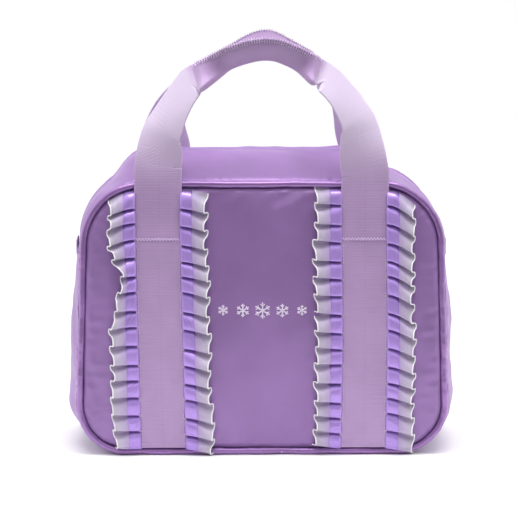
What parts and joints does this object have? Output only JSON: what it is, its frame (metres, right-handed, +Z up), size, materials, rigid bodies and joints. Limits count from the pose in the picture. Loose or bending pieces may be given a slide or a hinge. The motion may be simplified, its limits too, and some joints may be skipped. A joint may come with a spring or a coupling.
{
  "type": "skate bag",
  "caption": "Padded satin carry bag for ice skates, with a domed zipped top, piped panels, webbing handles and pleated ruffles beside the front straps.",
  "frame": {"origin": "middle of the flat base that the bag stands on", "axes": "+X across the bag's width, +Y from its ruffled front to its plain back, +Z up"},
  "size_m": [0.3846, 0.179, 0.4278],
  "materials": {
    "panel_satin": "satin",
    "piping_satin": "satin",
    "piping_cord": "matte",
    "padding": "matte foam",
    "lining": "plain weave",
    "webbing": "ribbed satin webbing",
    "thread": "satin thread",
    "zip_tape": "woven tape",
    "zip_coil": "satin nylon",
    "zip_metal": "satin enamel",
    "ruffle_satin": "satin",
    "organza": "sheer",
    "ruffle_cord": "corded edge",
    "embroidery_thread": "satin stitch",
    "base_stiffener": "matte"
  },
  "bodies": {
    "bag_body": {"back_handle_stitching": "thread", "back_panel_foam": "padding", "back_panel_lining": "lining", "back_panel_shell": "panel_satin", "back_piping_cord": "piping_cord", "back_piping_cover": "piping_satin", "back_seam_binding": "lining", "back_strap_left": "webbing", "back_strap_right": "webbing", "base_board": "base_stiffener", "embroidery": "embroidery_thread", "front_handle_stitching": "thread", "front_panel_foam": "padding", "front_panel_lining": "lining", "front_panel_shell": "panel_satin", "front_piping_cord": "piping_cord", "front_piping_cover": "piping_satin", "front_seam_binding": "lining", "front_strap_left": "webbing", "front_strap_right": "webbing", "lower_gusset_foam": "padding", "lower_gusset_lining": "lining", "lower_gusset_shell": "panel_satin", "ruffle_inner_left_edge": "ruffle_cord", "ruffle_inner_left_organza": "organza", "ruffle_inner_left_satin": "ruffle_satin", "ruffle_inner_right_edge": "ruffle_cord", "ruffle_inner_right_organza": "organza", "ruffle_inner_right_satin": "ruffle_satin", "ruffle_outer_left_edge": "ruffle_cord", "ruffle_outer_left_organza": "organza", "ruffle_outer_left_satin": "ruffle_satin", "ruffle_outer_right_edge": "ruffle_cord", "ruffle_outer_right_organza": "organza", "ruffle_outer_right_satin": "ruffle_satin", "zip_coil_left": "zip_coil", "zip_coil_right": "zip_coil", "zip_corner_back_left": "panel_satin", "zip_corner_back_right": "panel_satin", "zip_corner_front_left": "panel_satin", "zip_corner_front_right": "panel_satin", "zip_end_tab_left": "panel_satin", "zip_end_tab_right": "panel_satin", "zip_tape_left": "zip_tape", "zip_tape_right": "zip_tape"},
    "front_flap": {"front_flap_shell": "panel_satin", "front_flap_foam": "padding", "front_flap_lining": "lining", "front_flap_zip_tape": "zip_tape", "front_flap_zip_coil": "zip_coil"},
    "back_flap": {"back_flap_shell": "panel_satin", "back_flap_foam": "padding", "back_flap_lining": "lining", "back_flap_zip_tape": "zip_tape", "back_flap_zip_coil": "zip_coil"},
    "zip_slider": {"zip_slider": "zip_metal"},
    "zip_pull": {"zip_pull": "zip_metal"},
    "front_handle": {"front_handle": "webbing"},
    "back_handle": {"back_handle": "webbing"}
  },
  "joints": [
    {"name": "front_flap_hinge", "type": "hinge", "parent": "bag_body", "child": "front_flap", "pos_m": [0, -0.0763, 0.281], "axis": [1, 0, 0], "range_deg": [0, 60]},
    {"name": "back_flap_hinge", "type": "hinge", "parent": "bag_body", "child": "back_flap", "pos_m": [0, 0.0763, 0.281], "axis": [-1, 0, 0], "range_deg": [0, 60]},
    {"name": "zip_slide", "type": "slide", "parent": "bag_body", "child": "zip_slider", "axis": [1, 0, 0], "range_m": [0, 0.223]},
    {"name": "zip_pull_hinge", "type": "hinge", "parent": "zip_slider", "child": "zip_pull", "pos_m": [-0.1115, 0, 0.3105], "axis": [0, -1, 0], "range_deg": [0, 150]},
    {"name": "front_handle_hinge", "type": "hinge", "parent": "bag_body", "child": "front_handle", "pos_m": [0, -0.0857, 0.2232], "axis": [1, 0, 0], "range_deg": [0, 170]},
    {"name": "back_handle_hinge", "type": "hinge", "parent": "bag_body", "child": "back_handle", "pos_m": [0, 0.0857, 0.2232], "axis": [-1, 0, 0], "range_deg": [0, 170]}
  ]
}
